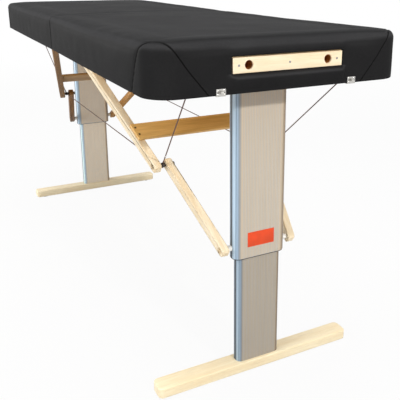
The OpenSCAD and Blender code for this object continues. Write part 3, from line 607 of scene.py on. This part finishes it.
def outline(d):
    """Plan outline drawn in by d, counter-clockwise from the middle of the end, and each point's tag.

    A tag is the stretch that the point belongs to, and its place along it, where that is used."""
    ro, ri = max(CORNER - d, 0.001), max(FOLD_CORNER - d, 0.0005)
    x1, fy = HALF_L - d, HALF_W - d
    x0 = GAP + fold_in(d)
    k = (fy - ro) / (HALF_W - CORNER)
    upper = [((x1, y * k), ("end", y)) for y in END_Y]
    for i in range(ARC_N + 1):
        a = math.pi / 2 * i / ARC_N
        upper.append(((x1 - ro + ro * math.cos(a), fy - ro + ro * math.sin(a)), ("arc", a)))
    for i in range(1, SIDE_N):
        t = i / SIDE_N
        x = x1 - ro + (x0 + ri - x1 + ro) * t
        upper.append(((x, fy - bow(x)), ("side", (HALF_L - CORNER) * (1 - t))))
    yc = fy - bow(x0 + ri) - ri
    for i in range(3):
        a = math.pi / 2 + math.pi / 2 * i / 2
        upper.append(((x0 + ri + ri * math.cos(a), yc + ri * math.sin(a)), ("fold", 0)))
    for i in range(1, FOLD_N // 2 + 1):
        upper.append(((x0, yc * (1 - 2 * i / FOLD_N)), ("fold", 0)))
    lower = [((p[0], -p[1]), t) for p, t in upper[1:-1][::-1]]
    pts, tags = zip(*(upper + lower))
    return np.array(pts), tags

def frame_loop(tags, base, inset):
    """The wall inside the skin (inset 0) or the hem's inner edge."""
    out = []
    for (kind, _), (x, y) in zip(tags, base):
        s = 1 if y >= 0 else -1
        hem = 0 if kind == "fold" or (kind == "side" and x < HEM_FROM_X) else inset
        if kind == "end":
            out.append((WALL_X - hem, y))
        elif kind == "arc":
            r = WALL_R - hem
            c = (WALL_ARC_X, s * WALL_ARC_Y)
            d = Vector((x - c[0], y - c[1])).normalized()
            out.append((c[0] + d.x * r, c[1] + d.y * r))
        elif kind == "side":
            out.append((x, s * (WALL_Y - hem)))
        else:
            out.append((WALL_FOLD_X, max(-WALL_Y, min(WALL_Y, y))))
    return np.array(out)

def skin_rows():
    """How far each row of the skin is drawn in, and its height, from the hem to the top's middle."""
    rows = list(HEM_ROWS) + [(0.0, z / 1000) for z in WALL_MM]
    for i in range(ARC_ROWS + 1):
        a = math.pi / 2 * i / ARC_ROWS
        rows.append((EDGE * (1 - math.cos(a)), RIM - EDGE + EDGE * math.sin(a)))
    for i in range(1, TOP_ROWS + 1):
        d = EDGE + (INNERMOST - EDGE) * (i / TOP_ROWS) ** 1.15
        rows.append((d, top_z(d)))
    return rows

def raise_fold(G, skin, tags):
    """Runs the fold's face straight up to the top, whose crown carries on over the fold."""
    for j, (d, z) in enumerate(skin):
        if z < RIM - EDGE:
            continue
        for i, (kind, _) in enumerate(tags):
            if kind == "fold":
                deep = HALF_W - bow(G[j, i, 0]) - abs(G[j, i, 1])
                rise = 1.0
                if d < EDGE:
                    sharp = math.sqrt(max(0, 1 - (1 - d / EDGE) ** 2))
                    rise = 1 - min(1, max(0, (deep - d) / EDGE)) * (1 - sharp)
                G[j, i, 2] = RIM - EDGE + (top_z(deep) - RIM + EDGE) * rise

def along_rim(tags):
    """Each point's place along the rim, from the corner's middle towards the end's middle."""
    quarter = CORNER * math.pi / 4
    place = {"end": lambda v: quarter + (HALF_W - CORNER) - v,
             "arc": lambda v: quarter - CORNER * v,
             "side": lambda v: -quarter - (HALF_L - CORNER - v),
             "fold": lambda v: -FAR_AWAY}
    return np.array([place[kind](v) for kind, v in tags])

def up_skin(skin):
    """Each row's place up the skin, from the hem."""
    rim = RIM - EDGE - BASE
    h = []
    for d, z in skin:
        if z <= RIM - EDGE + 1e-9:
            h.append(z - BASE)
        elif d <= EDGE + 1e-9:
            h.append(rim + EDGE * math.asin(min(1, (z - RIM + EDGE) / EDGE)))
        else:
            h.append(rim + EDGE * math.pi / 2 + d - EDGE)
    return np.array(h)

def catmull(p, steps=6):
    """A smooth line through the points."""
    p = [np.array(q) for q in p]
    out = []
    for i in range(len(p) - 1):
        a, b, c, d = p[max(i - 1, 0)], p[i], p[i + 1], p[min(i + 2, len(p) - 1)]
        for k in range(steps):
            t = k / steps
            out.append(0.5 * (2 * b + (c - a) * t + (2 * a - 5 * b + 4 * c - d) * t * t
                              + (3 * b - a - 3 * c + d) * t ** 3))
    out.append(p[-1])
    return np.array(out)

def seam_distance(s, h):
    """Distance to the corner patch's seam, negative inside the patch."""
    line = catmull(ARCH)
    flat = np.stack([s.ravel(), h.ravel()], 1)
    out = np.full(len(flat), FAR_AWAY)
    near = (np.abs(flat[:, 0]) < SEAM_REACH) & (flat[:, 1] < SEAM_REACH)
    q = flat[near]
    dist = np.full(len(q), FAR_AWAY)
    for a, b in zip(line[:-1], line[1:]):
        ab = b - a
        t = np.clip(((q - a) @ ab) / (ab @ ab), 0, 1)
        dist = np.minimum(dist, np.linalg.norm(q - a - t[:, None] * ab, axis=1))
    top = np.interp(q[:, 0], line[:, 0], line[:, 1], left=-1, right=-1)
    out[near] = np.where(q[:, 1] < top, -dist, dist)
    return out.reshape(s.shape)

def normals(G):
    a = np.roll(G, -1, axis=1) - np.roll(G, 1, axis=1)
    b = np.gradient(G, axis=0)
    v = np.cross(a, b)
    return v / np.maximum(np.linalg.norm(v, axis=2, keepdims=True), 1e-12)

def fill(G, hold):
    """Runs cloth with pressure on every second point of the skin. Returns how far all points move."""
    g, w = G[::2, ::2], hold[::2, ::2]
    r, n = g.shape[:2]
    me = bpy.data.meshes.new("skin")
    faces = [q for j in range(r - 1) for q in ring_faces(j, j + 1, n)]
    me.from_pydata([tuple(v) for v in g.reshape(-1, 3)], [], faces)
    ob = link("skin", me)
    pins = ob.vertex_groups.new(name="pins")
    for i, v in enumerate(w.ravel()):
        pins.add([i], float(v), "REPLACE")
    cloth = ob.modifiers.new("Cloth", "CLOTH")
    c = cloth.settings
    c.quality, c.mass = 5, 0.3
    c.tension_stiffness = c.compression_stiffness = 60
    c.shear_stiffness, c.bending_stiffness = 30, 4
    c.vertex_group_mass = "pins"
    c.use_pressure, c.uniform_pressure_force = True, 4.0
    c.effector_weights.gravity = 0
    cloth.collision_settings.use_collision = False
    scene = bpy.context.scene
    for f in range(1, CLOTH_FRAMES + 1):
        scene.frame_set(f)
    done = ob.evaluated_get(bpy.context.evaluated_depsgraph_get())
    co = np.zeros(r * n * 3, np.float32)
    done.data.vertices.foreach_get("co", co)
    scene.frame_set(1)
    bpy.data.objects.remove(ob)
    move = co.reshape(r, n, 3) - g
    size = np.linalg.norm(move, axis=2, keepdims=True)
    print("cloth moved up to", float(size.max()))
    eased = CLOTH_CAP * np.tanh(size / CLOTH_CAP) / np.maximum(size, 1e-9)
    move = np.where(size > 1e-9, move * eased, 0)
    # back to all points, each new one halfway between its neighbours
    wide = np.zeros((r, G.shape[1], 3))
    wide[:, ::2] = move
    wide[:, 1::2] = (move + np.roll(move, -1, axis=1))[:, : wide[:, 1::2].shape[1]] / 2
    full = np.zeros(G.shape)
    full[::2] = wide
    odd = full[1::2].shape[0]
    follow = np.concatenate([wide[1:], wide[-1:]])
    full[1::2] = (wide[:odd] + follow[:odd]) / 2
    return full

def plate_relief(Y, Z, q):
    """How far the end stands out round the headrest plate, q being the distance to the plate."""
    below, above = np.maximum(PLATE_Z0 - Z, 0), np.maximum(Z - PLATE_Z1, 0)
    wide = 1 - step(np.abs(Y), *RELIEF_Y)
    lip = -LIP_T * np.exp(-(q / LIP_W) ** 1.3)
    roll = (ROLL_T * (below / ROLL_W) * np.exp(1 - below / ROLL_W) * wide * (below > 0)
            * step(Z, *ROLL_Z))
    brow = BROW_T * (above / BROW_W) * np.exp(1 - above / BROW_W) * wide * (above > 0)
    return lip + roll + brow

def cover_faces(P, skin, kinds, near):
    """The faces between the rings, then one above the panel and one in the middle of the top."""
    n, m0 = len(kinds), len(P) - len(skin)
    def is_open(j, i):
        """Whether the near end is open there, for the headrest plate or behind it."""
        k = (i + 1) % n
        if not (near and kinds[i] == "end" and kinds[k] == "end"):
            return False
        if abs((P[j, i] + P[j + 1, k])[1] / 2) >= PLATE_Y:
            return False
        if j < m0:
            return j == 0
        return PLATE_Z0 < (skin[j - m0][1] + skin[j - m0 + 1][1]) / 2 < PLATE_Z1
    faces = [f for j in range(len(P) - 1) for i, f in enumerate(ring_faces(j, j + 1, n))
             if not is_open(j, i)]
    return faces + [tuple(range(n))[::-1], tuple((len(P) - 1) * n + i for i in range(n))]

def build_cushion(side):
    near = side == "near"
    base, tags = outline(0)
    kinds = np.array([t[0] for t in tags])
    n = len(base)
    wall, hem = frame_loop(tags, base, 0.0), frame_loop(tags, base, HEM_W)
    levels = [(wall, WALL_TOP), (wall, WALL_FOOT), (hem, WALL_FOOT), (hem, HEM_FOOT)]
    m0 = len(levels)
    skin = skin_rows()
    loops = levels + [(outline(d)[0], z) for d, z in skin]
    P = np.array([np.column_stack([loop, np.full(n, z)]) for loop, z in loops])
    # G is the skin's part of P, and X, Y and Z follow whatever moves it
    G = P[m0:]
    X, Y, Z = G[:, :, 0], G[:, :, 1], G[:, :, 2]
    raise_fold(G, skin, tags)
    S, H = np.meshgrid(along_rim(tags), up_skin(skin))
    D = np.array([[d] * n for d, z in skin])
    seam = seam_distance(S, H)
    on_end = (kinds == "end")[None, :] & (D < END_DEPTH)
    # the filling stands a little higher towards the headrest end than by the fold
    full = np.interp(X, *FULLER) if near else FAR_FULLER
    Z += full * step(H, *FULLER_UP) * (1 - (1 - FULLER_MIDDLE) * step(D, *FULLER_IN))
    q = np.full(seam.shape, FAR_AWAY)
    if near:
        dy = np.maximum(np.abs(Y) - PLATE_Y, 0)
        dz = np.maximum(Z - PLATE_Z1, 0) + np.maximum(PLATE_Z0 - Z, 0)
        q = np.where(on_end, np.hypot(dy, dz), FAR_AWAY)
    # cloth: held at the hem, the fold, the seams, the plate and the top, it fills between them
    hold = np.maximum.reduce([1 - step(H, *HELD_HEM), step(D, *HELD_TOP),
                              1 - step(np.abs(seam), *HELD_SEAM), 1 - step(q, *HELD_PLATE),
                              1 - step(X, *HELD_FOLD)])
    G += fill(G, hold)
    if near:
        X += plate_relief(Y, Z, q) * on_end
    # the groove of a seam is wider on the long side and over the rim
    loose = 1 + np.maximum(step(-S, *WIDE_SEAM_SIDE), step(H, *WIDE_SEAM_UP)) * (S > WIDE_SEAM_END)
    N = normals(G)
    G += N * (-SEAM_T * loose * np.exp(-(seam / SEAM_W / loose) ** 2))[..., None]
    # a little unevenness of a hand-pulled cover
    for j in range(2, len(skin)):
        amp = UNEVEN * (1 - step(D[j, 0], *UNEVEN_IN)) * step(H[j, 0], *UNEVEN_UP)
        if amp <= 0:
            continue
        for i in range(n):
            if kinds[i] != "fold" and q[j, i] > UNEVEN_OFF_PLATE:
                G[j, i] += N[j, i] * amp * noise.noise(Vector(G[j, i]) * UNEVEN_SCALE)
    faces = cover_faces(P, skin, kinds, near)
    verts = P.reshape(-1, 3)
    if not near:
        verts = verts * np.array([-1, 1, 1])
        faces = [f[::-1] for f in faces]
    me = bpy.data.meshes.new(side + "_cover")
    me.from_pydata([tuple(v) for v in verts], [], faces)
    value = np.full((len(P), n), FAR_AWAY, np.float32)
    value[m0:] = seam / loose
    me.attributes.new("seam", "FLOAT", "POINT").data.foreach_set("value", value.ravel())
    ob = link(side + "_cover", me)
    paint(ob, "vinyl")
    smooth(ob, 50)
    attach(ob, side + "_half")
    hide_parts(side + "_cushion")

for side, _ in SIDES:
    build_cushion(side)

# ---------------------------------------------------------------- cables

WIRE_R, WIRE_SIDES, WIRE_STEPS = 0.0017, 8, 26
SLEEVE_R, SLEEVE_EASED_R = 0.0026, 0.0021
SLEEVE_CUTS = (0.0, 0.0005, 0.0135, 0.014)  # rings of the sleeve, the first and last eased
SLEEVE_L = SLEEVE_CUTS[-1]

def stay(name, a, b, node, sleeve=True):
    """A taut cable from a to b, with a dark sleeve at its start."""
    a, b = Vector(a), Vector(b)
    ahead = (b - a).normalized()
    u = ahead.cross(Vector((0, 0, 1))).normalized()
    v = ahead.cross(u)
    length = (b - a).length
    cuts = list(SLEEVE_CUTS)
    cuts += [SLEEVE_L + (length - SLEEVE_L) * i / WIRE_STEPS for i in range(1, WIRE_STEPS + 1)]
    verts = []
    for j, at in enumerate(cuts):
        r = WIRE_R
        if sleeve and j < len(SLEEVE_CUTS):
            r = SLEEVE_EASED_R if j in (0, len(SLEEVE_CUTS) - 1) else SLEEVE_R
        for i in range(WIRE_SIDES):
            t = 2 * math.pi * i / WIRE_SIDES
            verts.append(a + ahead * at + (u * math.cos(t) + v * math.sin(t)) * r)
    last = len(cuts) - 1
    faces = [q for j in range(last) for q in ring_faces(j, j + 1, WIRE_SIDES)]
    faces += [tuple(range(WIRE_SIDES))[::-1], tuple(last * WIRE_SIDES + i for i in range(WIRE_SIDES))]
    me = bpy.data.meshes.new(name)
    me.from_pydata(verts, [], faces)
    ob = link(name, me)
    paint(ob, "rope")
    if sleeve:
        me.materials.append(M["dark"])
        for f in me.polygons:
            f.material_index = 1 if (f.center - a).length < SLEEVE_L - 0.0002 else 0
    smooth(ob, 50)
    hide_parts(node)
    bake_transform(ob)

for side, sx in SIDES:
    for hand, sy in HANDS:
        knee = Vector((sx * KNEE_X, sy * KNEE_Y, KNEE_Z))
        eye = Vector((sx * EYE_X, sy * EYE_Y, EYE_Z))
        a = knee + (eye - knee).normalized() * BOLT_R
        stay(f"{side}_{hand}_end_stay", a, eye,
             side + "_end_cables")
        inner = Vector((sx * MIDDLE_X, sy * KNEE_Y, KNEE_Z))
        outer = Vector((sx * KNEE_INNER_X, sy * KNEE_Y, KNEE_Z))
        stay(f"{side}_{hand}_side_stay", outer, inner,
             "side_cables")
for hand, sy in HANDS:
    a, b = Vector((-MIDDLE_X, sy * KNEE_Y, KNEE_Z)), Vector((MIDDLE_X, sy * KNEE_Y, KNEE_Z))
    stay(hand + "_middle_stay", a, b, "side_cables", sleeve=False)

# ---------------------------------------------------------------- small fittings

TURNED_STEPS = 24
DOWEL = ((0, 0.0004), (0.0019, 0.0003), (0.0023, -0.0004))  # radius, and height above the brace
# A head's profile, as shares of its radius, and the foot that goes into the piece below, in metres
DOME = ((0, 0.42), (0.35, 0.40), (0.68, 0.30), (0.9, 0.14), (1, 0.0))
DOME_FOOT_R, DOME_FOOT_Z = 0.98, -0.0003
SLOT_L, SLOT_W, SLOT_UP, SLOT_T = 1.25, 0.26, 0.36, 0.0004  # the first three as shares of the radius
# a thin dark strip across each latch, painted shade in the gap between its studs
LATCH_SHADE_STRIP = (0.0004, 0.0215, 0.0014)
PLATE_SCREW_R, STUD_R, STUD_DY = 0.0030, 0.0031, 0.0078
STUD_Z = (0.8462, 0.8548)

def finish_fitting(ob, mat, body):
    paint(ob, mat)
    smooth(ob, 40)
    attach(ob, body)

def turned(name, profile, at, axis, body, mat):
    """A solid of revolution: profile holds (radius, distance along the axis), from a point outwards."""
    bm = bmesh.new()
    rows = []
    for r, z in profile:
        turns = [2 * math.pi * i / TURNED_STEPS for i in range(TURNED_STEPS)] if r else [0]
        rows.append([bm.verts.new((r * math.cos(t), r * math.sin(t), z)) for t in turns])
    for a, b in zip(rows[:-1], rows[1:]):
        for i in range(TURNED_STEPS):
            k = (i + 1) % TURNED_STEPS
            bm.faces.new((a[0], b[i], b[k]) if len(a) == 1 else (a[i], a[k], b[k], b[i]))
    bmesh.ops.recalc_face_normals(bm, faces=bm.faces)
    me = bpy.data.meshes.new(name)
    bm.to_mesh(me)
    bm.free()
    turn = Vector((0, 0, 1)).rotation_difference(Vector(axis)).to_matrix().to_4x4()
    me.transform(Matrix.Translation(at) @ turn)
    finish_fitting(link(name, me), mat, body)

def bar(name, size, at, axes, body, mat, round_by):
    """A small block with rounded edges, size along the three given axes."""
    bm = bmesh.new()
    bmesh.ops.create_cube(bm, size=1)
    bmesh.ops.scale(bm, vec=size, verts=bm.verts)
    bmesh.ops.bevel(bm, geom=list(bm.edges), offset=round_by, segments=2, profile=0.5, affect="EDGES")
    me = bpy.data.meshes.new(name)
    bm.to_mesh(me)
    bm.free()
    turn = Matrix([Vector(a) for a in axes]).transposed().to_4x4()
    me.transform(Matrix.Translation(at) @ turn)
    finish_fitting(link(name, me), mat, body)

def dome(name, at, axis, r, body):
    """A screw's or a stud's round head."""
    profile = [(p * r, z * r) for p, z in DOME] + [(DOME_FOOT_R * r, DOME_FOOT_Z)]
    turned(name, profile, at, axis, body, "nickel")

def screw(name, at, axis, side_axis, r, body):
    """A head with a cross slot, drawn as two thin dark bars: painted shade of the recess."""
    dome(name, at, axis, r, body)
    ax, sa = Vector(axis).normalized(), Vector(side_axis).normalized()
    ta = ax.cross(sa)
    for k, (p, q) in enumerate(((sa, ta), (ta, sa))):
        bar(f"{name}_slot{k}", (r * SLOT_L, r * SLOT_W, SLOT_T), Vector(at) + ax * r * SLOT_UP,
            (p, q, p.cross(q)), body, "slot", 0.00005)

for end, sx in SIDES:
    body = NODES[end + "_lower_braces"]["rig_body"]
    for hand, sy in HANDS:
        turned(f"{end}_{hand}_dowel", DOWEL, (sx * DOWEL_AT[0], sy * DOWEL_AT[1], DOWEL_AT[2]),
               (sx * DOWEL_AXIS[0], sy * DOWEL_AXIS[1], DOWEL_AXIS[2]), body, "dark")
for k, y in enumerate((-PLATE_SCREW_Y, 0.0, PLATE_SCREW_Y)):
    screw(f"plate_screw{k}", (PLATE_FACE_X, y, HEADREST_Z), (1, 0, 0), (0, 0.8, 0.6), PLATE_SCREW_R,
          "near_half")
for end, sx in SIDES:
    for hand, sy in HANDS:
        for i, dy in enumerate((-STUD_DY, STUD_DY)):
            for j, z in enumerate(STUD_Z):
                dome(f"{end}_{hand}_latch_stud{i}{j}", (sx * LATCH_X, sy * LATCH_Y + dy, z), (sx, 0, 0),
                     STUD_R, end + "_half")
        # painted shade: a thin dark strip between the latch's studs
        bar(f"{end}_{hand}_latch_shade_strip", LATCH_SHADE_STRIP,
            (sx * (LATCH_X + 0.0001), sy * LATCH_Y, LATCH_Z), ((1, 0, 0), (0, 1, 0), (0, 0, 1)),
            end + "_half", "slot", 0.0001)

# ---------------------------------------------------------------- stage and light

WORLD = ((0.97, 0.985, 1, 1), 0.44)  # colour and strength of what lights the object
FLOOR_R, FLOOR_Z, FLOOR_DARK, FLOOR_LIGHT = 30, -0.0006, 0.56, 0.60
GLOW_FADE = ((2.2, 6.0), (0.94, 1.0))  # distance from the table, and how white the floor is seen there
# Name, place, what it points at, size, watts and colour
LAMPS = (("key", (1.2, -3.6, 2.2), (0.3, 0, 0.6), 2.2, 66, (1, 0.98, 0.95)),
         ("front", (4.2, 0.5, 2.5), (0.85, 0, 0.5), 0.22, 84, (1, 0.965, 0.92)),
         ("fill", (-1.9, -1.9, 1.0), (-0.85, 0, 0.0), 0.8, 24, (1, 0.97, 0.92)),
         ("top", (0.3, 0.0, 3.8), (0, 0, 0.9), 3.0, 98, (1, 1, 1)))

def add_world():
    world = bpy.data.worlds.new("studio")
    bpy.context.scene.world = world
    world.use_nodes = True
    n = Nodes(world.node_tree)
    n.nt.nodes.clear()
    soft = n.add("Background", Color=WORLD[0], Strength=WORLD[1]).outputs[0]
    white = n.add("Background", Color=(1, 1, 1, 1), Strength=1.0).outputs[0]
    n.add("OutputWorld", Surface=n.add("MixShader", i0=n.seen(), i1=soft, i2=white).outputs[0])

def add_floor():
    bm = bmesh.new()
    bmesh.ops.create_circle(bm, cap_ends=True, segments=96, radius=FLOOR_R)
    me = bpy.data.meshes.new("floor")
    bm.to_mesh(me)
    bm.free()
    floor = link("floor", me)
    floor.location.z = FLOOR_Z
    m = Mat("floor_white")
    speck = m.noise(m.coords(), 3.0, 2.0)
    tones = [(p, (v, v, v, 1)) for p, v in ((0.3, FLOOR_DARK), (0.7, FLOOR_LIGHT))]
    m.set(Base_Color=m.ramp(speck, tones), Roughness=0.9)
    glow = m.add("Emission", Color=(1, 1, 1, 1), Strength=1.0).outputs[0]
    away = m.add("VectorMath", {"operation": "LENGTH"}, i0=m.coords()).outputs["Value"]
    share = m.math("MULTIPLY", m.seen(), m.remap(away, *GLOW_FADE))
    mixed = m.add("MixShader", i0=share, i1=m.bsdf.outputs[0], i2=glow).outputs[0]
    m.put(m.out.inputs["Surface"], mixed)
    floor.data.materials.append(m.m)

def add_lamp(name, at, to, size, power, colour):
    data = bpy.data.lights.new(name, "AREA")
    data.shape, data.size, data.energy, data.color = "DISK", size, power, colour
    ob = bpy.data.objects.new(name, data)
    bpy.context.scene.collection.objects.link(ob)
    ob.location = at
    ob.rotation_euler = (Vector(to) - Vector(at)).to_track_quat("-Z", "Y").to_euler()

add_world()
add_floor()
for lamp in LAMPS:
    add_lamp(*lamp)
